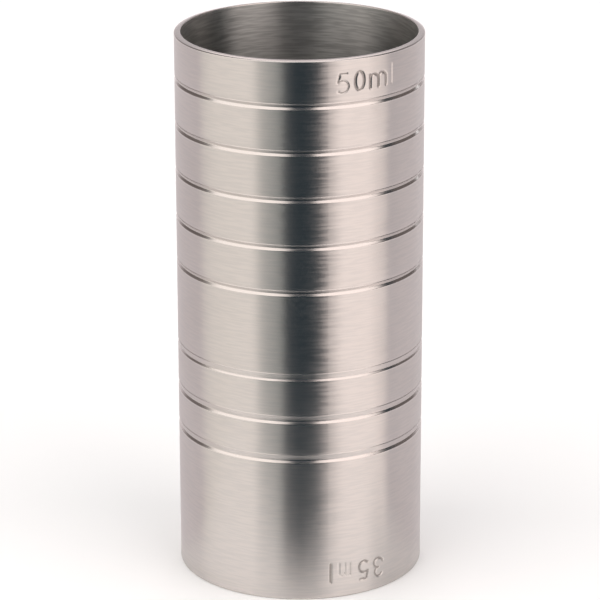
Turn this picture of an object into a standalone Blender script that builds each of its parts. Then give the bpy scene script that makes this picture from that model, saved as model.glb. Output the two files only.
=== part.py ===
"""A double-ended bar measure: a grooved steel tube with a floor soldered across its bore.

The upper cup holds 50 ml and the lower cup 35 ml. Units are metres, +Z is up, and the origin is the centre
of the foot. The capacity marks are engraved on the side that faces -Y, towards +X.
"""

import math

import bmesh
import bpy

MM = 0.001

# Driving dimensions. The cups' depths and the height follow from the capacities and the bore. A cup that is
# filled to its brim may hold a little over its mark, never under, hence the allowance.
UPPER_CAPACITY = 50e-6
LOWER_CAPACITY = 35e-6
BRIM_ALLOWANCE = 1.02
TUBE_DIAMETER = 38.1 * MM
WALL = 1.0 * MM
FLOOR_THICKNESS = 1.0 * MM
FIT_GAP = 0.3 * MM

# The outer edge is rounded more at the rim than at the foot. The inner edges are alike.
RIM_ROUND = 0.3 * MM
FOOT_ROUND = 0.25 * MM
INNER_EDGE_ROUND = 0.2 * MM
ROUND_STEPS = 2

# Grooves, as distances of their roots below the rim. The floor groove marks the level of the floor inside.
UPPER_GRIP_GROOVES = (7.05 * MM, 14.15 * MM, 21.4 * MM, 28.8 * MM, 35.95 * MM)
UPPER_GRIP_SHAPE = {"above": 0.45 * MM, "below": 0.42 * MM, "depth": 0.28 * MM, "root": 0.1 * MM}
LOWER_GRIP_GROOVES = (56.4 * MM, 62.75 * MM)
LOWER_GRIP_SHAPE = {"above": 0.85 * MM, "below": 0.42 * MM, "depth": 0.28 * MM, "root": 0.1 * MM}
FLOOR_GROOVE = 49.63 * MM
FLOOR_GROOVE_SHAPE = {"above": 0.85 * MM, "below": 0.3 * MM, "depth": 0.18 * MM, "root": 0.08 * MM}

# The bead of hard solder in each cup's corner.
FILLET_LEG = 1.2 * MM
FILLET_TIP = 0.08 * MM
FILLET_HOLLOW = 0.2 * MM
FILLET_STEPS = 4
FLOOR_EDGE_CHAMFER = 0.15 * MM

# Engraved marks: "start" is the arc from the -Y line to the first figure's outer side, towards +X, "baseline"
# is the height there, "tilt" is its rise along the arc, and "gaps" follow each of the four figures.
STROKE_RADIUS = 0.2 * MM
STROKE_DEPTH = 0.14 * MM
X_HEIGHT = 0.7
L_WIDTH = 0.8 * MM
UPPER_MARK = {
    "text": "50ml",
    "start": 5.63 * MM,
    "baseline": 80.6 * MM,
    "tilt": 0.04,
    "height": 2.85 * MM,
    "digit": 1.72 * MM,
    "m": 2.95 * MM,
    "gaps": (1.03 * MM, 1.0 * MM, 0.7 * MM, 0),
    "turn": 1,
}
LOWER_MARK = {
    "text": "35ml",
    "start": 13.89 * MM,
    "baseline": 5.12 * MM,
    "tilt": -0.059,
    "height": 2.98 * MM,
    "digit": 1.67 * MM,
    "m": 1.93 * MM,
    "gaps": (1.1 * MM, 1.49 * MM, 0.94 * MM, 0),
    "turn": -1,
}

TURN_STEPS = 72
MERGE = 1e-5
WELD = 1e-6
SHARP_ANGLE = math.radians(10)

TUBE_RADIUS = TUBE_DIAMETER / 2
BORE_RADIUS = TUBE_RADIUS - WALL
BORE_AREA = math.pi * BORE_RADIUS**2
UPPER_DEPTH = BRIM_ALLOWANCE * UPPER_CAPACITY / BORE_AREA
LOWER_DEPTH = BRIM_ALLOWANCE * LOWER_CAPACITY / BORE_AREA
HEIGHT = LOWER_DEPTH + FLOOR_THICKNESS + UPPER_DEPTH
FLOOR_MIDDLE = LOWER_DEPTH + FLOOR_THICKNESS / 2


def clear_scene():
    """Removes what the startup scene holds."""
    for thing in list(bpy.data.objects):
        bpy.data.objects.remove(thing)


def new_collection(name):
    """A collection linked to the scene."""
    made = bpy.data.collections.new(name)
    bpy.context.scene.collection.children.link(made)
    return made


def metal(name, colour, roughness):
    """A Principled material for bare metal."""
    made = bpy.data.materials.new(name)
    made.use_nodes = True
    shader = made.node_tree.nodes["Principled BSDF"]
    shader.inputs["Base Color"].default_value = (*colour, 1.0)
    shader.inputs["Roughness"].default_value = roughness
    shader.inputs["Metallic"].default_value = 1.0
    return made


def arc(centre, radii, start, sweep, steps):
    """Points along an ellipse's arc, with angles in degrees."""
    points = []
    for i in range(steps + 1):
        angle = math.radians(start + sweep * i / steps)
        points.append((centre[0] + radii[0] * math.cos(angle), centre[1] + radii[1] * math.sin(angle)))
    return points


def rounded(x, z, radius, start):
    """A quarter round about (x, z), clockwise from the start angle."""
    return arc((x, z), (radius, radius), start, -90, ROUND_STEPS)


def groove(root_below_rim, shape):
    """A shallow V in the outer wall, from its upper edge to its lower one."""
    root = HEIGHT - root_below_rim
    floor = TUBE_RADIUS - shape["depth"]
    return [
        (TUBE_RADIUS, root + shape["above"]),
        (floor, root + shape["root"] / 2),
        (floor, root - shape["root"] / 2),
        (TUBE_RADIUS, root - shape["below"]),
    ]


def tube_outline():
    """Half of the tube's section, down the outside and up the bore."""
    cuts = [(depth, UPPER_GRIP_SHAPE) for depth in UPPER_GRIP_GROOVES]
    cuts += [(depth, LOWER_GRIP_SHAPE) for depth in LOWER_GRIP_GROOVES]
    cuts.append((FLOOR_GROOVE, FLOOR_GROOVE_SHAPE))
    inner = BORE_RADIUS + INNER_EDGE_ROUND
    outline = rounded(TUBE_RADIUS - RIM_ROUND, HEIGHT - RIM_ROUND, RIM_ROUND, 90)
    for depth, shape in sorted(cuts, key=lambda cut: cut[0]):
        outline += groove(depth, shape)
    outline += rounded(TUBE_RADIUS - FOOT_ROUND, FOOT_ROUND, FOOT_ROUND, 0)
    outline += rounded(inner, INNER_EDGE_ROUND, INNER_EDGE_ROUND, 270)
    outline += rounded(inner, HEIGHT - INNER_EDGE_ROUND, INNER_EDGE_ROUND, 180)
    return outline


def floor_outline():
    """Half of the disc's section about its own middle, from the axis out, down and back."""
    radius = BORE_RADIUS - FIT_GAP
    half = FLOOR_THICKNESS / 2
    return [
        (0, half),
        (radius - FLOOR_EDGE_CHAMFER, half),
        (radius, half - FLOOR_EDGE_CHAMFER),
        (radius, FLOOR_EDGE_CHAMFER - half),
        (radius - FLOOR_EDGE_CHAMFER, -half),
        (0, -half),
    ]


def fillet_outline():
    """The bead's section above the floor's middle, from its tip on the wall down and round its hollow face."""
    wall = BORE_RADIUS - FIT_GAP
    low = FLOOR_THICKNESS / 2 + FIT_GAP
    outline = [(wall, low + FILLET_LEG), (wall, low), (wall - FILLET_LEG, low)]
    start = (wall - FILLET_LEG, low + FILLET_TIP)
    end = (wall - FILLET_TIP, low + FILLET_LEG)
    for i in range(FILLET_STEPS + 1):
        share = i / FILLET_STEPS
        sag = FILLET_HOLLOW * math.sin(math.pi * share) / math.sqrt(2)
        x = start[0] + share * (end[0] - start[0]) + sag
        z = start[1] + share * (end[1] - start[1]) - sag
        outline.append((x, z))
    return outline


def turned(name, outline, closed, material, parts):
    """A piece turned about Z from half of its section."""
    last = len(outline) - 1
    edges = [(i, i + 1) for i in range(last)]
    if closed:
        edges.append((last, 0))
    mesh = bpy.data.meshes.new(name)
    mesh.from_pydata([(x, 0, z) for x, z in outline], edges, [])
    mesh.materials.append(material)
    piece = bpy.data.objects.new(name, mesh)
    parts.objects.link(piece)
    screw = piece.modifiers.new("turn", "SCREW")
    screw.axis = "Z"
    screw.angle = math.tau
    screw.steps = TURN_STEPS
    screw.render_steps = TURN_STEPS
    screw.use_merge_vertices = True
    screw.merge_threshold = MERGE
    return piece


def glyph(letter):
    """A figure's strokes in a box one unit wide and high, drawn as an engraver's single lines."""
    if letter == "0":
        return [arc((0.5, 0.5), (0.44, 0.5), 90, 360, 12)]
    if letter == "3":
        upper = arc((0.45, 0.76), (0.43, 0.24), 155, -245, 8)
        lower = arc((0.45, 0.26), (0.55, 0.26), 90, -250, 8)
        return [upper, lower]
    if letter == "5":
        flag = [(0.85, 1.0), (0.22, 1.0), (0.05, 0.58)]
        bowl = arc((0.42, 0.31), (0.58, 0.31), 130, -255, 9)
        return [flag, bowl]
    if letter == "m":
        stem = [(0.0, 0.0), (0.0, X_HEIGHT)]
        shoulder = X_HEIGHT - 0.25
        first = arc((0.25, shoulder), (0.25, 0.25), 180, -180, 6) + [(0.5, 0.0)]
        second = arc((0.75, shoulder), (0.25, 0.25), 180, -180, 6) + [(1.0, 0.0)]
        return [stem, first, second]
    return [[(0.5, 0.0), (0.5, 1.0)]]


def on_wall(arc_length, height):
    """A point at the strokes' depth, at this arc from the -Y line and this height."""
    reach = TUBE_RADIUS - STROKE_DEPTH + STROKE_RADIUS
    angle = arc_length / TUBE_RADIUS
    return (reach * math.sin(angle), -reach * math.cos(angle), height)


def mark_strokes(mark):
    """Every stroke of a mark on the wall. Its turn is 1 for upright, -1 for upside down."""
    strokes = []
    turn = mark["turn"]
    left = mark["start"]
    for letter, gap in zip(mark["text"], mark["gaps"]):
        width = {"m": mark["m"], "l": L_WIDTH}.get(letter, mark["digit"])
        for stroke in glyph(letter):
            points = []
            for x, y in stroke:
                along = left + turn * x * width
                rise = mark["tilt"] * (along - mark["start"]) + turn * y * mark["height"]
                points.append(on_wall(along, mark["baseline"] + rise))
            strokes.append(points)
        left += turn * (width + gap)
    return strokes


def weld(mesh):
    """Joins a curve's loose caps to its sides."""
    cage = bmesh.new()
    cage.from_mesh(mesh)
    bmesh.ops.remove_doubles(cage, verts=cage.verts, dist=WELD)
    bmesh.ops.recalc_face_normals(cage, faces=cage.faces)
    cage.to_mesh(mesh)
    cage.free()


def stroke_cutter(name, points, cutters):
    """A round-nosed cutter along a stroke, made a mesh so that it can cut."""
    looped = math.dist(points[0], points[-1]) < MERGE
    if looped:
        points = points[:-1]
    curve = bpy.data.curves.new(name, "CURVE")
    curve.dimensions = "3D"
    curve.bevel_depth = STROKE_RADIUS
    curve.bevel_resolution = 1
    curve.use_fill_caps = True
    spline = curve.splines.new("POLY")
    spline.points.add(len(points) - 1)
    for point, place in zip(spline.points, points):
        point.co = (*place, 1.0)
    spline.use_cyclic_u = looped
    guide = bpy.data.objects.new(name + "_guide", curve)
    cutters.objects.link(guide)
    graph = bpy.context.evaluated_depsgraph_get()
    mesh = bpy.data.meshes.new_from_object(guide.evaluated_get(graph))
    bpy.data.objects.remove(guide)
    weld(mesh)
    cutter = bpy.data.objects.new(name, mesh)
    cutter.hide_render = True
    cutter.display_type = "WIRE"
    cutters.objects.link(cutter)
    return cutter


def engrave(tube, cutters):
    """Cuts both marks into the tube."""
    strokes = mark_strokes(UPPER_MARK) + mark_strokes(LOWER_MARK)
    for number, points in enumerate(strokes, 1):
        cutter = stroke_cutter(f"stroke_{number:02d}", points, cutters)
        cut = tube.modifiers.new(cutter.name, "BOOLEAN")
        cut.operation = "DIFFERENCE"
        cut.solver = "EXACT"
        cut.object = cutter


def settle(piece):
    """Applies a piece's modifiers, and shades its round faces smooth up to its sharp edges."""
    graph = bpy.context.evaluated_depsgraph_get()
    mesh = bpy.data.meshes.new_from_object(piece.evaluated_get(graph))
    piece.modifiers.clear()
    piece.data = mesh
    mesh.name = piece.name
    mesh.shade_smooth()
    mesh.set_sharp_from_angle(angle=SHARP_ANGLE)


def build():
    """Makes the measure's pieces in their places."""
    clear_scene()
    parts = new_collection("bar_measure")
    cutters = new_collection("engraving_cutters")
    brushed = metal("brushed_steel", (0.66, 0.63, 0.61), 0.3)
    pressed = metal("pressed_steel", (0.6, 0.59, 0.58), 0.35)
    solder = metal("hard_solder", (0.72, 0.68, 0.6), 0.4)

    tube = turned("measure_tube", tube_outline(), True, brushed, parts)
    engrave(tube, cutters)
    floor = turned("floor_disc", floor_outline(), False, pressed, parts)
    upper = turned("upper_solder_fillet", fillet_outline(), True, solder, parts)
    lower = turned("lower_solder_fillet", fillet_outline(), True, solder, parts)
    for piece in (tube, floor, upper, lower):
        settle(piece)

    base = bpy.data.objects.new("measure_base", None)
    parts.objects.link(base)
    for piece in (tube, floor, upper, lower):
        piece.parent = base
    for piece in (floor, upper, lower):
        piece.location.z = FLOOR_MIDDLE
    lower.rotation_euler.x = math.pi


build()
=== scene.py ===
"""The looks of the double-ended bar measure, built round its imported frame.

The tube is remade as one fine mesh with softly rounded grooves and edges and the engraved capacity marks.
The floor disc and its two solder beads are remade inside it. Angles round the tube are measured from -Y,
towards +X.
"""

import math

import bmesh
import bpy
import numpy as np
from mathutils import Matrix, Vector, noise


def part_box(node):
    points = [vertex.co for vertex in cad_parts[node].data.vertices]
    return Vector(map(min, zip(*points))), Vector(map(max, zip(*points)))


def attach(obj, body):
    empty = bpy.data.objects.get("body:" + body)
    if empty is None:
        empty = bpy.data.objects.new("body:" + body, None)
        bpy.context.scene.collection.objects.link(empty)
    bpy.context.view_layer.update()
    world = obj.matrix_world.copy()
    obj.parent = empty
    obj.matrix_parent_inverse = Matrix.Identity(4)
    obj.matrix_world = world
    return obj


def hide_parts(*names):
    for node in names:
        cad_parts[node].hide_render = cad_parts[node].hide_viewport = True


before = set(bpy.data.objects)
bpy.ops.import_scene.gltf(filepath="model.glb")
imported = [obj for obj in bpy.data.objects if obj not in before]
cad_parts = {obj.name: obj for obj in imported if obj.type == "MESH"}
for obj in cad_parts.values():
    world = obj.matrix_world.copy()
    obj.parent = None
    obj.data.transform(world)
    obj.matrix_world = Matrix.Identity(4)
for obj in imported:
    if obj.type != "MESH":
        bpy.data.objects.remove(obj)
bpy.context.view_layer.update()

MM = 0.001

# Sizes read from the frame. FIT_GAP is the solids' clearance between the floor disc and the bore.
_, TUBE_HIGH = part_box("measure_tube")
FLOOR_LOW, FLOOR_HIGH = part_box("floor_disc")
TUBE_RADIUS = TUBE_HIGH.x
HEIGHT = TUBE_HIGH.z
FIT_GAP = 0.3 * MM
BORE_RADIUS = FLOOR_HIGH.x + FIT_GAP

# The tube's foot, outside and inside.
FOOT_ROUND = 0.25 * MM
INNER_EDGE_ROUND = 0.2 * MM

# The rim's top, worn to a crown: a small round inside, a face that slopes more and more, up to RIM_SLOPE
# degrees, and a round outside.
RIM_INNER_ROUND = 0.15 * MM
RIM_ROUND = 0.15 * MM
RIM_SLOPE = 22

# How far the grooves' roots lie below the rim, and each kind's section: how far it reaches above and below
# its root, its depth and the width of its flat root.
UPPER_GRIP_GROOVES = (7.05 * MM, 14.15 * MM, 21.4 * MM, 28.8 * MM, 35.95 * MM)
UPPER_GRIP_GROOVE = {"above": 0.45 * MM, "below": 0.42 * MM, "depth": 0.28 * MM, "root": 0.1 * MM}
LOWER_GRIP_GROOVES = (56.4 * MM, 62.75 * MM)
LOWER_GRIP_GROOVE = {"above": 0.85 * MM, "below": 0.42 * MM, "depth": 0.28 * MM, "root": 0.1 * MM}
FLOOR_GROOVE_ROOT = 49.63 * MM
FLOOR_GROOVE = {"above": 0.85 * MM, "below": 0.3 * MM, "depth": 0.18 * MM, "root": 0.08 * MM}

# The tool left a lip along each groove's upper edge: a dip, a small step out again and a short steep edge.
LIP_REACH = 0.3 * MM
LIP_DEPTH = 0.06 * MM
LIP_HEIGHT = 0.09 * MM
LIP_LAND = 0.015 * MM
STEEP_EDGE = 0.03 * MM
LIP_SOFT = 0.006 * MM
GROOVE_SOFT = 0.045 * MM

# The engraved marks, as in the solids. "press" is how deep each figure is cut, against STROKE_DEPTH. Where
# the wall is cut deeper than MARKED_DEPTH it has the mark's finish.
STROKE_HALF = 0.23 * MM
STROKE_DEPTH = 0.14 * MM
TROUGH_HALF = 1.25 * STROKE_HALF
TROUGH_POWER = 1.5
MARKED_DEPTH = 0.34 * STROKE_DEPTH
X_HEIGHT = 0.7
ARCH = 0.25
L_WIDTH = 0.8 * MM
UPPER_MARK = {
    "text": "50ml",
    "start": 5.63 * MM,
    "baseline": 80.6 * MM,
    "tilt": 0.04,
    "height": 2.85 * MM,
    "digit": 1.72 * MM,
    "m": 2.95 * MM,
    "gaps": (1.03 * MM, 1.0 * MM, 0.7 * MM, 0),
    "press": (0.5, 0.95, 1.1, 0.35),
    "turn": 1,
}
LOWER_MARK = {
    "text": "35ml",
    "start": 13.89 * MM,
    "baseline": 5.12 * MM,
    "tilt": -0.059,
    "height": 2.98 * MM,
    "digit": 1.67 * MM,
    "m": 1.93 * MM,
    "gaps": (1.1 * MM, 1.49 * MM, 0.94 * MM, 0),
    "press": (0.9, 0.9, 0.38, 1.0),
    "turn": -1,
}

# Mesh spacing, fine where a mark is cut. SUPPORT is how far beside an edge a row keeps the shading flat.
FINE_STEP = 0.09 * MM
COARSE_ARC = 1.0 * MM
COARSE_RISE = 2.5 * MM
ROUND_STEPS = 6
SUPPORT = 0.05 * MM
SLACK = 1e-6

# The rows of a softened corner, and how many of a groove's rows, from its top to its root, are wall.
CORNER_STEPS = 2
CORNER_ROWS = CORNER_STEPS + 1
WALL_CORNERS = 6
GROOVE_WALL_ROWS = WALL_CORNERS * CORNER_ROWS

# The finishes in the order of a mesh's material slots.
FINISHES = ("wall", "groove", "edge", "face", "bore", "mark", "solder")

# The floor disc and the solder beads. Each runs a hair into its neighbour, so that no slit shows. FLOOR_POLE
# is the share of the disc's radius where its innermost ring lies.
OVERLAP = 0.02 * MM
FLOOR_DISH = 0.12 * MM
FLOOR_RINGS = 40
FLOOR_COLUMNS = 128
FLOOR_POLE = 0.004
BEAD_LEG = 1.25 * MM
BEAD_HOLLOW = 0.28 * MM
BEAD_STEPS = 8
BEAD_COLUMNS = 360
BEAD_WAVE = 0.12 * MM
BEAD_WAVES = 9.0

# The camera and its distance from the tube's axis.
CAMERA_ELEVATION = math.radians(18.74)
CAMERA_DISTANCE = 27.1 * TUBE_RADIUS
CAMERA_AIM = 2.226 * TUBE_RADIUS
CAMERA_ROLL = math.radians(-0.12)
CAMERA_LENS = 198.9
CAMERA_NEAR = 0.01
CAMERA_FAR = 20


# ---------------------------------------------------------------- engraved marks


def arc(centre, radii, start, sweep, steps):
    """Points along an ellipse's arc, with angles in degrees."""
    points = []
    for i in range(steps + 1):
        angle = math.radians(start + sweep * i / steps)
        points.append((centre[0] + radii[0] * math.cos(angle), centre[1] + radii[1] * math.sin(angle)))
    return points


def glyph(letter):
    """A figure's strokes in a box one unit wide and high, drawn as an engraver's single lines."""
    if letter == "0":
        return [arc((0.5, 0.5), (0.44, 0.5), 90, 360, 32)]
    if letter == "3":
        upper = arc((0.45, 0.76), (0.43, 0.24), 155, -245, 20)
        lower = arc((0.45, 0.26), (0.55, 0.26), 90, -250, 20)
        return [upper, lower]
    if letter == "5":
        flag = [(0.85, 1.0), (0.22, 1.0), (0.05, 0.58)]
        bowl = arc((0.42, 0.31), (0.58, 0.31), 130, -255, 24)
        return [flag, bowl]
    if letter == "m":
        stem = [(0.0, 0.0), (0.0, X_HEIGHT)]
        shoulder = X_HEIGHT - ARCH
        first = arc((ARCH, shoulder), (ARCH, ARCH), 180, -180, 16) + [(2 * ARCH, 0.0)]
        second = arc((3 * ARCH, shoulder), (ARCH, ARCH), 180, -180, 16) + [(4 * ARCH, 0.0)]
        return [stem, first, second]
    return [[(0.5, 0.0), (0.5, 1.0)]]


def mark_segments(mark):
    """A mark's strokes as straight pieces: rows of arc length and height at both ends, and depth."""
    segments = []
    turn = mark["turn"]
    left = mark["start"]
    for letter, gap, press in zip(mark["text"], mark["gaps"], mark["press"]):
        width = {"m": mark["m"], "l": L_WIDTH}.get(letter, mark["digit"])
        for stroke in glyph(letter):
            points = []
            for x, y in stroke:
                along = left + turn * x * width
                rise = mark["tilt"] * (along - mark["start"]) + turn * y * mark["height"]
                points.append((along, mark["baseline"] + rise))
            segments += [(*a, *b, press * STROKE_DEPTH) for a, b in zip(points, points[1:])]
        left += turn * (width + gap)
    return np.array(segments)


def mark_window(segments):
    """The span of arc length and of height that a mark's strokes cut."""
    arcs = segments[:, [0, 2]]
    heights = segments[:, [1, 3]]
    pad = 2 * STROKE_HALF
    return arcs.min() - pad, arcs.max() + pad, heights.min() - pad, heights.max() + pad


def engraved_depth(arcs, heights, segments):
    """How deep the strokes cut at each point: a round trough with soft shoulders."""
    cut = np.zeros(arcs.shape)
    for ax, ay, bx, by, depth in segments:
        along_x = bx - ax
        along_y = by - ay
        length_squared = along_x**2 + along_y**2
        share = np.clip(((arcs - ax) * along_x + (heights - ay) * along_y) / length_squared, 0, 1)
        gap = np.hypot(arcs - ax - share * along_x, heights - ay - share * along_y)
        inside = np.clip(gap / TROUGH_HALF, 0, 1)
        cut = np.maximum(cut, depth * np.cos(inside * math.pi / 2) ** TROUGH_POWER)
    return cut


# ---------------------------------------------------------------- the tube's mesh


def spaced(start, end, step):
    """Even stops from start up to but not including end, no further apart than step."""
    count = max(1, math.ceil(abs(end - start) / step))
    return [start + (end - start) * i / count for i in range(count)]


def softened(corners):
    """A polyline with each inner corner, given as (radius, height, softness), eased into a short curve."""
    outline = []
    for before, (x, z, soft), after in zip(corners, corners[1:], corners[2:]):
        corner = Vector((x, z))
        back = Vector(before[:2]) - corner
        ahead = Vector(after[:2]) - corner
        start = corner + back.normalized() * min(soft, back.length / 2)
        end = corner + ahead.normalized() * min(soft, ahead.length / 2)
        for i in range(CORNER_ROWS):
            share = i / CORNER_STEPS
            outline.append(tuple(start.lerp(corner, share).lerp(corner.lerp(end, share), share)))
    return outline


def groove_points(root, shape):
    """A groove's outline: the lip above it, the long upper flank, the root and the short lower flank."""
    wall = TUBE_RADIUS
    floor = wall - shape["depth"]
    top = root + shape["above"]
    peak = top + LIP_LAND
    dip = peak + LIP_HEIGHT
    low = root - shape["below"]
    corners = [
        (wall, dip + 2 * LIP_REACH, 0.0),
        (wall, dip + LIP_REACH, GROOVE_SOFT),
        (wall - LIP_DEPTH, dip, LIP_SOFT),
        (wall, peak, LIP_SOFT),
        (wall, top, LIP_SOFT),
        (wall - STEEP_EDGE, top - STEEP_EDGE, LIP_SOFT),
        (floor, root + shape["root"] / 2, GROOVE_SOFT),
        (floor, root - shape["root"] / 2, GROOVE_SOFT),
        (wall, low, GROOVE_SOFT),
        (wall, low - LIP_REACH, 0.0),
    ]
    return softened(corners)


def rounded(x, z, radius, start, sweep=-90):
    """A round about (x, z), clockwise from the start angle."""
    return arc((x, z), (radius, radius), start, sweep, ROUND_STEPS)


def rim_points():
    """The rim from the bore's edge over the crown to the outer wall."""
    inner = BORE_RADIUS + RIM_INNER_ROUND
    slope = math.radians(RIM_SLOPE)
    crown = (TUBE_RADIUS - RIM_ROUND + RIM_ROUND * math.sin(slope) - inner) / math.sin(slope)
    drop = (crown - RIM_ROUND) * (1 - math.cos(slope)) + RIM_ROUND
    points = rounded(inner, HEIGHT - RIM_INNER_ROUND, RIM_INNER_ROUND, 180)
    points += rounded(inner, HEIGHT - crown, crown, 90, -RIM_SLOPE)[1:]
    points += rounded(TUBE_RADIUS - RIM_ROUND, HEIGHT - drop, RIM_ROUND, 90 - RIM_SLOPE, RIM_SLOPE - 90)[1:]
    return points


def wall_rows(high, low, windows):
    """Rows down a plain stretch of the outer wall, close together where a mark is cut."""
    edges = {high, low}
    for _, _, bottom, top in windows:
        edges |= {z for z in (bottom, top) if low < z < high}
    edges = sorted(edges, reverse=True)
    rows = []
    for a, b in zip(edges, edges[1:]):
        middle = (a + b) / 2
        marked = any(bottom < middle < top for _, _, bottom, top in windows)
        rows += spaced(a, b, FINE_STEP if marked else COARSE_RISE)
    return [(TUBE_RADIUS, z) for z in rows]


def tube_outline(windows):
    """The section's points with the finish of the face below each: down the outside and up the bore."""
    grooves = [(depth, UPPER_GRIP_GROOVE) for depth in UPPER_GRIP_GROOVES]
    grooves += [(depth, LOWER_GRIP_GROOVE) for depth in LOWER_GRIP_GROOVES]
    grooves.append((FLOOR_GROOVE_ROOT, FLOOR_GROOVE))
    grooves.sort(key=lambda groove: groove[0])
    rim = rim_points()
    foot = TUBE_RADIUS - FOOT_ROUND
    inner = BORE_RADIUS + INNER_EDGE_ROUND
    outline = [(point, "edge") for point in rim]
    high = rim[-1][1] - SUPPORT
    for depth, shape in grooves:
        points = groove_points(HEIGHT - depth, shape)
        outline += [(point, "wall") for point in wall_rows(high, points[0][1] + SUPPORT, windows)]
        outline += [(point, "wall") for point in points[:GROOVE_WALL_ROWS]]
        outline += [(point, "groove") for point in points[GROOVE_WALL_ROWS:]]
        high = points[-1][1] - SUPPORT
    outline += [(point, "wall") for point in wall_rows(high, FOOT_ROUND + SUPPORT, windows)]
    outline.append(((TUBE_RADIUS, FOOT_ROUND + SUPPORT), "wall"))
    outline += [(point, "edge") for point in rounded(foot, FOOT_ROUND, FOOT_ROUND, 0)]
    outline += [((foot - SUPPORT, 0.0), "face"), ((inner + SUPPORT, 0.0), "face")]
    outline += [(point, "edge") for point in rounded(inner, INNER_EDGE_ROUND, INNER_EDGE_ROUND, 270)]
    bore_top = rim[0][1] - SUPPORT
    for z in spaced(INNER_EDGE_ROUND + SUPPORT, bore_top, COARSE_RISE):
        outline.append(((BORE_RADIUS, z), "bore"))
    outline.append(((BORE_RADIUS, bore_top), "bore"))
    return outline


def column_arcs(windows):
    """Arc lengths of the mesh's columns once round the tube, close together where the marks are."""
    left = min(window[0] for window in windows)
    right = max(window[1] for window in windows)
    whole = math.tau * TUBE_RADIUS
    return np.array(spaced(left, right, FINE_STEP) + spaced(right, left + whole, COARSE_ARC))


def make_tube(materials):
    """The whole tube as one closed grid of quads."""
    marks = [mark_segments(UPPER_MARK), mark_segments(LOWER_MARK)]
    windows = [mark_window(segments) for segments in marks]
    outline = tube_outline(windows)
    arcs = column_arcs(windows)
    radii = np.array([point[0] for point, _ in outline])[:, None] * np.ones(len(arcs))
    heights = np.array([point[1] for point, _ in outline])[:, None] * np.ones(len(arcs))
    around = np.ones(len(outline))[:, None] * arcs
    outside = radii > TUBE_RADIUS - SLACK
    cut = np.zeros(radii.shape)
    for segments, (left, right, bottom, top) in zip(marks, windows):
        near = outside & (around > left) & (around < right) & (heights > bottom) & (heights < top)
        cut[near] = engraved_depth(around[near], heights[near], segments)
    radii -= cut
    angles = around / TUBE_RADIUS
    points = np.stack((radii * np.sin(angles), -radii * np.cos(angles), heights), axis=-1)
    marked = cut > MARKED_DEPTH
    marked &= np.roll(marked, -1, 0) & np.roll(marked, -1, 1) & np.roll(marked, -1, (0, 1))
    finishes = [finish for _, finish in outline]
    return grid_piece("measure_tube_fine", points, finishes, materials, marked=marked)


def grid_piece(name, points, finishes, materials, closed=True, marked=None):
    """A mesh from rows of points round the axis. The rows run down the outside, so faces point out."""
    rows, columns = points.shape[:2]
    if marked is None:
        marked = np.zeros((rows, columns), bool)
    present = {*finishes, "mark"} if marked.any() else {*finishes}
    used = [finish for finish in FINISHES if finish in present]
    faces = []
    slots = []
    for i in range(rows if closed else rows - 1):
        above = i * columns
        below = (i + 1) % rows * columns
        for j in range(columns):
            right = (j + 1) % columns
            faces.append((above + j, below + j, below + right, above + right))
            slots.append(used.index("mark" if marked[i, j] else finishes[i]))
    mesh = bpy.data.meshes.new(name)
    mesh.from_pydata(points.reshape(-1, 3).tolist(), [], faces)
    for finish in used:
        mesh.materials.append(materials[finish])
    mesh.polygons.foreach_set("material_index", slots)
    mesh.shade_smooth()
    mesh.validate()
    piece = bpy.data.objects.new(name, mesh)
    bpy.context.scene.collection.objects.link(piece)
    return piece


# ---------------------------------------------------------------- the floor and its solder beads


def make_floor(materials):
    """The pressed disc, very slightly dished on both faces, let a hair into the bore's wall."""
    middle = (FLOOR_LOW.z + FLOOR_HIGH.z) / 2
    half = (FLOOR_HIGH.z - FLOOR_LOW.z) / 2
    radius = BORE_RADIUS + OVERLAP
    angles = np.arange(FLOOR_COLUMNS) * math.tau / FLOOR_COLUMNS
    outwards = np.linspace(FLOOR_POLE, 1, FLOOR_RINGS)
    rows = []
    for side, shares in ((1, outwards), (-1, outwards[::-1])):
        for share in shares:
            dish = FLOOR_DISH * (1 - share**2) ** 2
            rows.append((share * radius, middle + side * (half - dish)))
    points = np.array([[(r * math.sin(a), -r * math.cos(a), z) for a in angles] for r, z in rows])
    piece = grid_piece("floor_disc_fine", points, ["face"] * len(rows), materials, closed=False)
    mesh = piece.data
    close_pole(mesh, 0, FLOOR_COLUMNS, (0, 0, middle + half - FLOOR_DISH), flip=False)
    last = (len(rows) - 1) * FLOOR_COLUMNS
    close_pole(mesh, last, FLOOR_COLUMNS, (0, 0, middle - half + FLOOR_DISH), flip=True)
    return piece


def close_pole(mesh, first, count, centre, flip):
    """Fans a ring of a mesh's points, which starts at the point numbered first, to one point on the axis."""
    cage = bmesh.new()
    cage.from_mesh(mesh)
    cage.verts.ensure_lookup_table()
    ring = [cage.verts[first + i] for i in range(count)]
    middle = cage.verts.new(centre)
    for i in range(count):
        a, b = ring[i], ring[(i + 1) % count]
        face = cage.faces.new((b, a, middle) if flip else (a, b, middle))
        face.smooth = True
    cage.to_mesh(mesh)
    cage.free()


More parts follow.
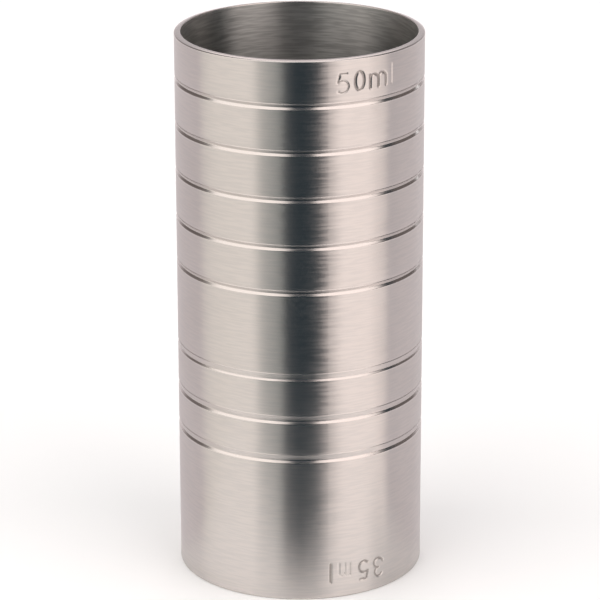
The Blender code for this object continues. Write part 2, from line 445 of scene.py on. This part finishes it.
def make_bead(name, seat, side, seed, materials):
    """A solder bead in the corner of the bore and the floor, its face hollow and its edge a little wavy."""
    points = []
    for j in range(BEAD_COLUMNS):
        angle = math.tau * j / BEAD_COLUMNS
        place = Vector((math.cos(angle), math.sin(angle), 0)) * BEAD_WAVES / 2
        wave = BEAD_WAVE * noise.noise(place + Vector((0, 0, seed)))
        leg = BEAD_LEG + wave
        column = [(BORE_RADIUS + OVERLAP, -OVERLAP)]
        for i in range(BEAD_STEPS + 1):
            share = i / BEAD_STEPS
            sag = BEAD_HOLLOW * math.sin(math.pi * share)
            along = leg * (1 - share)
            up = leg * share
            column.append((BORE_RADIUS + OVERLAP - along + sag, up - sag - OVERLAP))
        points.append([(r * math.sin(angle), -r * math.cos(angle), seat + side * z) for r, z in column])
    points = np.array(points).transpose(1, 0, 2)
    if side < 0:
        points = points[::-1]
    return grid_piece(name, points, ["solder"] * len(points), materials)


# ---------------------------------------------------------------- materials


class Nodes:
    """Short ways to add the nodes of one tree."""

    def __init__(self, tree):
        self.tree = tree

    def add(self, kind, **settings):
        node = self.tree.nodes.new(kind)
        for name, value in settings.items():
            setattr(node, name, value)
        return node

    def link(self, value, socket):
        if isinstance(value, bpy.types.NodeSocket):
            self.tree.links.new(value, socket)
        else:
            socket.default_value = value

    def math(self, operation, *values):
        node = self.add("ShaderNodeMath", operation=operation)
        for value, socket in zip(values, node.inputs):
            self.link(value, socket)
        return node.outputs[0]

    def vector(self, operation, *values):
        node = self.add("ShaderNodeVectorMath", operation=operation)
        for value, socket in zip(values, node.inputs):
            self.link(value, socket)
        return node.outputs[0]

    def scaled(self, value, factor):
        node = self.add("ShaderNodeVectorMath", operation="SCALE")
        self.link(value, node.inputs[0])
        self.link(factor, node.inputs["Scale"])
        return node.outputs[0]

    def ramp(self, value, low, high, to_low=0.0, to_high=1.0, kind="SMOOTHSTEP"):
        """A value between low and high, mapped to between to_low and to_high."""
        node = self.add("ShaderNodeMapRange", interpolation_type=kind)
        for number, part in enumerate((value, low, high, to_low, to_high)):
            self.link(part, node.inputs[number])
        return node.outputs[0]

    def spread(self, value, half, to_low=0.0, to_high=1.0, kind="SMOOTHSTEP"):
        """The part of a noise within half of its middle, mapped to between to_low and to_high."""
        return self.ramp(value, 0.5 - half, 0.5 + half, to_low, to_high, kind)

    def noise(self, place, detail=2.0, roughness=0.5):
        node = self.add("ShaderNodeTexNoise")
        self.link(place, node.inputs["Vector"])
        node.inputs["Scale"].default_value = 1.0
        node.inputs["Detail"].default_value = detail
        node.inputs["Roughness"].default_value = roughness
        return node.outputs["Fac"]

    def mix(self, share, first, second):
        """A blend of two colours. The node's colour sockets are inputs 6 and 7 and output 2."""
        node = self.add("ShaderNodeMix", data_type="RGBA")
        self.link(share, node.inputs[0])
        self.link(first, node.inputs[6])
        self.link(second, node.inputs[7])
        return node.outputs[2]


# The turn of the blur that lays it along the axis, across the brushed lines.
ACROSS_LINES = 0.25

# Noise cells per metre, round the tube and along it.
FINE_LINES = (300, 3400)
LONG_LINES = (110, 3000)
TOOL_LINES = (60, 6000)
PATCHES = (90, 60)

# Noise cells per metre out from the axis and along the face, for rings that wander a little.
RING_CELLS = 9000
RING_WANDER = 90

# Noise cells per metre every way.
SOLDER_CELLS = 900
GRAIN_CELLS = 5000

PATCH_ROUGHNESS = 0.015
TOOL_ROUGHNESS = 0.05

STEEL_WARM = (0.695, 0.65, 0.625, 1)
STEEL_COOL = (0.665, 0.628, 0.608, 1)
BORE_WARM = (0.65, 0.645, 0.63, 1)
BORE_COOL = (0.55, 0.547, 0.535, 1)
SOLDER_DARK = (0.68, 0.62, 0.52, 1)
SOLDER_LIGHT = (0.78, 0.73, 0.64, 1)
MARK_DARK = (0.34, 0.31, 0.29, 1)
MARK_LIGHT = (0.50, 0.46, 0.44, 1)

# Painted light and shade in the bore: the depths below the rim where its painted tone changes, and the
# factors on its colour above and below that, painted light at the mouth and painted shade deeper in.
BORE_PAINTED_SHADE_DEPTHS = (1.5 * MM, 8 * MM)
BORE_PAINTED_LIGHT_AND_SHADE = (1.16, 0.94)


def metal(name, roughness, anisotropy):
    """A bare metal material with its helper, its shader and the place of the point in metres."""
    made = bpy.data.materials.new(name)
    made.use_nodes = True
    nodes = Nodes(made.node_tree)
    shader = made.node_tree.nodes["Principled BSDF"]
    shader.inputs["Metallic"].default_value = 1.0
    shader.inputs["Roughness"].default_value = roughness
    shader.inputs["Anisotropic"].default_value = anisotropy
    shader.inputs["Anisotropic Rotation"].default_value = ACROSS_LINES
    if anisotropy:
        tangent = nodes.add("ShaderNodeTangent", direction_type="RADIAL", axis="Z")
        nodes.link(tangent.outputs[0], shader.inputs["Tangent"])
    place = nodes.add("ShaderNodeTexCoord").outputs["Object"]
    return made, nodes, shader, place


def stretched(nodes, place, cells):
    """Noise coordinates with their own number of cells per metre round the tube and along it."""
    around, along = cells
    return nodes.vector("MULTIPLY", place, (around, around, along))


def bumped(nodes, shader, height, distance, normal=None):
    """A bump from a height in units of distance."""
    bump = nodes.add("ShaderNodeBump")
    bump.inputs["Strength"].default_value = 1.0
    bump.inputs["Distance"].default_value = distance
    nodes.link(height, bump.inputs["Height"])
    if normal is not None:
        nodes.link(normal, bump.inputs["Normal"])
    nodes.link(bump.outputs[0], shader.inputs["Normal"])


def brushed(name, roughness, anisotropy, streak, lean, sparkle, tilt, colours):
    """Steel brushed round the tube, in fine lines.

    Each line is lighter or darker by streak, faces sideways by lean, is rougher or smoother by sparkle and
    stands up by tilt.
    """
    made, nodes, shader, place = metal(name, roughness, anisotropy)
    fine = nodes.noise(stretched(nodes, place, FINE_LINES), detail=1.0)
    long = nodes.noise(stretched(nodes, place, LONG_LINES), detail=1.0)
    patch = nodes.noise(stretched(nodes, place, PATCHES), detail=3.0)
    lines = nodes.math("MULTIPLY_ADD", fine, 0.5, nodes.math("MULTIPLY", long, 0.5))
    colour = nodes.mix(nodes.spread(fine, 0.15), *colours)
    colour = nodes.scaled(colour, nodes.spread(lines, 0.1, 1 - streak, 1 + streak))
    rough = nodes.spread(lines, 0.08, roughness - sparkle, roughness + sparkle)
    rough = nodes.math("ADD", rough, nodes.spread(patch, 0.2, -PATCH_ROUGHNESS, PATCH_ROUGHNESS))
    nodes.link(rough, shader.inputs["Roughness"])
    side = nodes.spread(lines, 0.08, -lean, lean)
    tangent = shader.inputs["Tangent"].links[0].from_socket
    geometry = nodes.add("ShaderNodeNewGeometry")
    leaning = nodes.vector("ADD", geometry.outputs["Normal"], nodes.scaled(tangent, side))
    normal = nodes.vector("NORMALIZE", leaning)
    bumped(nodes, shader, fine, tilt, normal)
    return made, nodes, shader, place, colour


def brushed_wall():
    """The outside, brushed all over."""
    made, nodes, shader, _, colour = brushed(
        "brushed_steel_wall",
        roughness=0.3,
        anisotropy=1.0,
        streak=0.018,
        lean=0.0085,
        sparkle=0.01,
        tilt=0.006 * MM,
        colours=(STEEL_COOL, STEEL_WARM),
    )
    nodes.link(colour, shader.inputs["Base Color"])
    return made


def brushed_bore():
    """The bore, brushed round less finely, with painted light at its mouth and painted shade deeper down."""
    made, nodes, shader, place, colour = brushed(
        "turned_steel_bore",
        roughness=0.34,
        anisotropy=0.9,
        streak=0.04,
        lean=0.0095,
        sparkle=0.012,
        tilt=0.007 * MM,
        colours=(BORE_COOL, BORE_WARM),
    )
    split = nodes.add("ShaderNodeSeparateXYZ")
    nodes.link(place, split.inputs[0])
    depth = nodes.math("SUBTRACT", HEIGHT, split.outputs["Z"])
    # Painted light and shade: the bore's colour is painted lighter at the mouth and darker deeper in.
    colour = nodes.scaled(colour, nodes.ramp(depth, *BORE_PAINTED_SHADE_DEPTHS, *BORE_PAINTED_LIGHT_AND_SHADE))
    nodes.link(colour, shader.inputs["Base Color"])
    return made


def turned_face(name):
    """The flat ring under the foot, and the floor disc: faint rings from turning."""
    made, nodes, shader, place = metal(name, 0.36, 0.7)
    flat = nodes.vector("MULTIPLY", place, (1, 1, 0))
    length = nodes.add("ShaderNodeVectorMath", operation="LENGTH")
    nodes.link(flat, length.inputs[0])
    rings = nodes.add("ShaderNodeCombineXYZ")
    nodes.link(nodes.math("MULTIPLY", length.outputs["Value"], RING_CELLS), rings.inputs[0])
    cells = nodes.vector("ADD", rings.outputs[0], nodes.scaled(flat, RING_WANDER))
    lines = nodes.noise(cells, roughness=0.6)
    nodes.link(nodes.mix(nodes.spread(lines, 0.2), STEEL_COOL, STEEL_WARM), shader.inputs["Base Color"])
    nodes.link(nodes.spread(lines, 0.25, 0.3, 0.42, "LINEAR"), shader.inputs["Roughness"])
    bumped(nodes, shader, lines, 0.002 * MM)
    return made


def polished_edge(name, roughness, anisotropy):
    """The small rounds and the grooves, which a tool left smoother than the brushed wall."""
    made, nodes, shader, place = metal(name, roughness, anisotropy)
    lines = nodes.noise(stretched(nodes, place, TOOL_LINES))
    rough = nodes.spread(lines, 0.3, roughness - TOOL_ROUGHNESS, roughness + TOOL_ROUGHNESS)
    nodes.link(nodes.mix(nodes.spread(lines, 0.2), STEEL_COOL, STEEL_WARM), shader.inputs["Base Color"])
    nodes.link(rough, shader.inputs["Roughness"])
    bumped(nodes, shader, lines, 0.001 * MM)
    return made


def solder_metal(name):
    """Hard solder: slightly yellow, smooth, with shallow waves."""
    made, nodes, shader, place = metal(name, 0.3, 0.0)
    waves = nodes.noise(nodes.scaled(place, SOLDER_CELLS), detail=3.0)
    nodes.link(nodes.mix(waves, SOLDER_DARK, SOLDER_LIGHT), shader.inputs["Base Color"])
    nodes.link(nodes.spread(waves, 0.3, 0.22, 0.4), shader.inputs["Roughness"])
    bumped(nodes, shader, waves, 0.03 * MM)
    return made


def dulled_mark(name):
    """The floor of the engraved strokes, rougher and darker than the wall round it."""
    made, nodes, shader, place = metal(name, 0.5, 0.0)
    grain = nodes.noise(nodes.scaled(place, GRAIN_CELLS), roughness=0.6)
    nodes.link(nodes.mix(grain, MARK_DARK, MARK_LIGHT), shader.inputs["Base Color"])
    bumped(nodes, shader, grain, 0.01 * MM)
    return made


def make_materials():
    """The material of each finish."""
    return {
        "wall": brushed_wall(),
        "bore": brushed_bore(),
        "groove": polished_edge("groove_steel", 0.22, 0.5),
        "edge": polished_edge("edge_steel", 0.22, 0.0),
        "face": turned_face("turned_steel_face"),
        "mark": dulled_mark("engraved_steel"),
        "solder": solder_metal("hard_solder_bead"),
    }


# ---------------------------------------------------------------- the studio

# Each light has the angles where it begins, is full, begins to fade and ends, in degrees "around" from -Y
# towards +X and "up" from the horizon, and a brightness and a colour. ALL_ROUND is wider than a turn, so that
# a light with it has no ends.
LEFT_BACK = (-106, -97)
RIGHT_BACK = (84, 91)
ALL_ROUND = (-300, -299, 299, 300)
LOW_BOX = (-86, -64, 8, 28)
HIGH_BOX = (8, 28, 60, 74)
GAP_BOX = (34, 42, 64, 76)
RIM_BOX = (28, 36, 66, 76)
WARM = (1.0, 0.905, 0.84)
PALE = (1.0, 0.93, 0.88)
CLEAR = (1.0, 1.03, 0.96)
PINK = (1.0, 0.90, 0.855)
DUSK = (1.0, 0.74, 0.62)
ROSE = (1.0, 0.91, 0.91)
WHITE = (0.97, 1.0, 1.02)
STUDIO = [
    {"around": (*LEFT_BACK, -46, -34), "up": LOW_BOX, "level": 0.52, "colour": WARM},
    {"around": (*LEFT_BACK, -38, -24), "up": LOW_BOX, "level": 0.14, "colour": WARM},
    {"around": (*LEFT_BACK, -20, -12), "up": LOW_BOX, "level": 0.29, "colour": CLEAR},
    {"around": (19, 27, 62, 74), "up": LOW_BOX, "level": 0.51, "colour": PINK},
    {"around": (24, 42, 62, 74), "up": LOW_BOX, "level": 0.68, "colour": PINK},
    {"around": (62, 74, *RIGHT_BACK), "up": (-75, -45, -8, 10), "level": 1.4, "colour": PINK},
    {"around": (-101, -92, -27, -18), "up": HIGH_BOX, "level": 1.4, "colour": PALE},
    {"around": (18, 25, 66, 76), "up": HIGH_BOX, "level": 1.5, "colour": PINK},
    {"around": (66, 76, 84, 91), "up": (22, 34, 60, 74), "level": 1.6, "colour": PINK},
    {"around": (-27, -18, -17, -8), "up": GAP_BOX, "level": 1.3, "colour": PALE},
    {"around": (14, 20, 18, 25), "up": GAP_BOX, "level": 1.2, "colour": PINK},
    {"around": (-300, -299, *LEFT_BACK), "up": (-75, -60, -2, 10), "level": 0.79, "colour": ROSE},
    {"around": (*RIGHT_BACK, 299, 300), "up": (-75, -60, -2, 10), "level": 0.79, "colour": ROSE},
    {"around": (152, 164, 299, 300), "up": (-8, 4, 60, 75), "level": 0.57, "colour": ROSE},
    {"around": (-300, -299, -164, -152), "up": (-8, 4, 60, 75), "level": 0.57, "colour": ROSE},
    {"around": (160, 167, 174, 179), "up": RIM_BOX, "level": 0.8, "colour": PINK},
    {"around": (-179, -174, -167, -160), "up": RIM_BOX, "level": 0.8, "colour": PINK},
    {"around": (96, 106, 150, 158), "up": (0, 8, 40, 52), "level": 0.15, "colour": DUSK},
    {"around": (-158, -150, -106, -96), "up": (0, 8, 40, 52), "level": 0.15, "colour": DUSK},
    {"around": (136, 138, 140, 142), "up": (7, 9, 12, 14), "level": 2.6, "colour": WHITE},
    {"around": ALL_ROUND, "up": (56, 74, 91, 92), "level": 0.65, "colour": WHITE},
]
SHADE = (0.02, 0.035, 0.046)
BACKDROP_COLOUR = (0.94, 0.94, 0.94, 1)


def make_world():
    """Soft boxes with a dark gap in front, all fixed in the room. The camera itself sees a plain backdrop."""
    world = bpy.data.worlds.new("studio")
    world.use_nodes = True
    bpy.context.scene.world = world
    tree = world.node_tree
    tree.nodes.clear()
    nodes = Nodes(tree)
    direction = nodes.add("ShaderNodeTexCoord").outputs["Generated"]
    split = nodes.add("ShaderNodeSeparateXYZ")
    nodes.link(direction, split.inputs[0])
    x, y, z = split.outputs
    around = nodes.math("DEGREES", nodes.math("ARCTAN2", x, nodes.math("MULTIPLY", y, -1.0)))
    up = nodes.math("DEGREES", nodes.math("ARCSINE", z))
    total = SHADE
    for light in STUDIO:
        share = 1.0
        for value, (start, full, fade, end) in ((around, light["around"]), (up, light["up"])):
            rise = nodes.ramp(value, start, full)
            fall = nodes.ramp(value, fade, end, 1.0, 0.0)
            share = nodes.math("MULTIPLY", share, nodes.math("MULTIPLY", rise, fall))
        glow = nodes.scaled(light["colour"], nodes.math("MULTIPLY", share, light["level"]))
        total = nodes.vector("ADD", total, glow)
    lit = nodes.add("ShaderNodeBackground")
    nodes.link(total, lit.inputs["Color"])
    plain = nodes.add("ShaderNodeBackground")
    plain.inputs["Color"].default_value = BACKDROP_COLOUR
    path = nodes.add("ShaderNodeLightPath")
    choose = nodes.add("ShaderNodeMixShader")
    nodes.link(path.outputs["Is Camera Ray"], choose.inputs[0])
    nodes.link(lit.outputs[0], choose.inputs[1])
    nodes.link(plain.outputs[0], choose.inputs[2])
    output = nodes.add("ShaderNodeOutputWorld")
    nodes.link(choose.outputs[0], output.inputs["Surface"])


STAGE_REACH = 3.0
STAGE_STEPS = 180
STAGE_PAINT = (0.93, 0.93, 0.93, 1)
STAGE_ROUGHNESS = 0.9

# How far out the steel mirrors the stage's floor, in millimetres from the axis, by degrees to either side of
# the camera.
MIRRORED_SIDE = (0, 10, 20, 40, 62, 80, 95, 180)
MIRRORED_REACH = (31, 35, 46, 58, 58, 30, 23, 23)

# The lamp over the floor, which the steel doesn't mirror.
LAMP_SIZE = 2.0
LAMP_HEIGHT = 1.0
LAMP_POWER = 10.5


def mirrored_reach(angle):
    """How far the floor shows in the steel in a direction, given anticlockwise from +X."""
    side = abs((math.degrees(angle) + 90 + 180) % 360 - 180)
    return float(np.interp(side, MIRRORED_SIDE, MIRRORED_REACH)) * MM


def floor_part(name, inner, outer, paint):
    """The floor between two outlines, each given by its distance from the axis at even angles from +X."""
    cage = bmesh.new()
    rings = []
    for radii in (inner, outer):
        ring = []
        for i, radius in enumerate(radii):
            angle = math.tau * i / STAGE_STEPS
            ring.append(cage.verts.new((radius * math.cos(angle), radius * math.sin(angle), 0)))
        rings.append(ring)
    for i in range(STAGE_STEPS):
        j = (i + 1) % STAGE_STEPS
        cage.faces.new((rings[0][i], rings[1][i], rings[1][j], rings[0][j]))
    bmesh.ops.remove_doubles(cage, verts=cage.verts, dist=SLACK)
    mesh = bpy.data.meshes.new(name)
    cage.to_mesh(mesh)
    cage.free()
    mesh.materials.append(paint)
    piece = bpy.data.objects.new(name, mesh)
    bpy.context.scene.collection.objects.link(piece)
    return piece


def make_stage():
    """A plain pale floor. Only its middle shows in the steel, which mirrors the room beyond that."""
    paint = bpy.data.materials.new("pale_floor")
    paint.use_nodes = True
    shader = paint.node_tree.nodes["Principled BSDF"]
    shader.inputs["Base Color"].default_value = STAGE_PAINT
    shader.inputs["Roughness"].default_value = STAGE_ROUGHNESS
    shader.inputs["Specular IOR Level"].default_value = 0.0
    seam = [mirrored_reach(math.tau * i / STAGE_STEPS) for i in range(STAGE_STEPS)]
    floor_part("near_floor", [0.0] * STAGE_STEPS, seam, paint)
    far_floor = floor_part("far_floor", seam, [STAGE_REACH] * STAGE_STEPS, paint)
    far_floor.visible_glossy = False
    far_floor.visible_shadow = False


def make_lamp():
    """A broad soft lamp overhead, to light the floor."""
    data = bpy.data.lights.new("overhead", "AREA")
    data.shape = "SQUARE"
    data.size = LAMP_SIZE
    data.energy = LAMP_POWER
    lamp = bpy.data.objects.new("overhead", data)
    bpy.context.scene.collection.objects.link(lamp)
    lamp.location = (0, 0, LAMP_HEIGHT)
    lamp.visible_glossy = False
    lamp.visible_camera = False


def make_camera():
    """The camera stands in front, looks down a little and sees the whole measure."""
    data = bpy.data.cameras.new("camera")
    data.lens = CAMERA_LENS
    data.clip_start = CAMERA_NEAR
    data.clip_end = CAMERA_FAR
    camera = bpy.data.objects.new("camera", data)
    bpy.context.scene.collection.objects.link(camera)
    back = Vector((0, -math.cos(CAMERA_ELEVATION), math.sin(CAMERA_ELEVATION)))
    camera.location = Vector((0, 0, CAMERA_AIM)) + CAMERA_DISTANCE * back
    aim = (-back).to_track_quat("-Z", "Y").to_matrix()
    turned = aim @ Matrix.Rotation(CAMERA_ROLL, 3, "Z")
    camera.rotation_euler = turned.to_euler()
    bpy.context.scene.camera = camera


# ---------------------------------------------------------------- assembly


def stand_for(piece, node):
    """The piece stands for a node of the frame and rides with it."""
    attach(piece, "root")
    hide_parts(node)


def build():
    """The four pieces, then the studio, stage, lamp and camera."""
    bpy.context.scene.view_settings.view_transform = "Standard"
    materials = make_materials()
    stand_for(make_tube(materials), "measure_tube")
    stand_for(make_floor(materials), "floor_disc")
    upper = make_bead("upper_bead", FLOOR_HIGH.z, side=1, seed=3, materials=materials)
    lower = make_bead("lower_bead", FLOOR_LOW.z, side=-1, seed=11, materials=materials)
    stand_for(upper, "upper_solder_fillet")
    stand_for(lower, "lower_solder_fillet")
    make_world()
    make_stage()
    make_lamp()
    make_camera()


build()
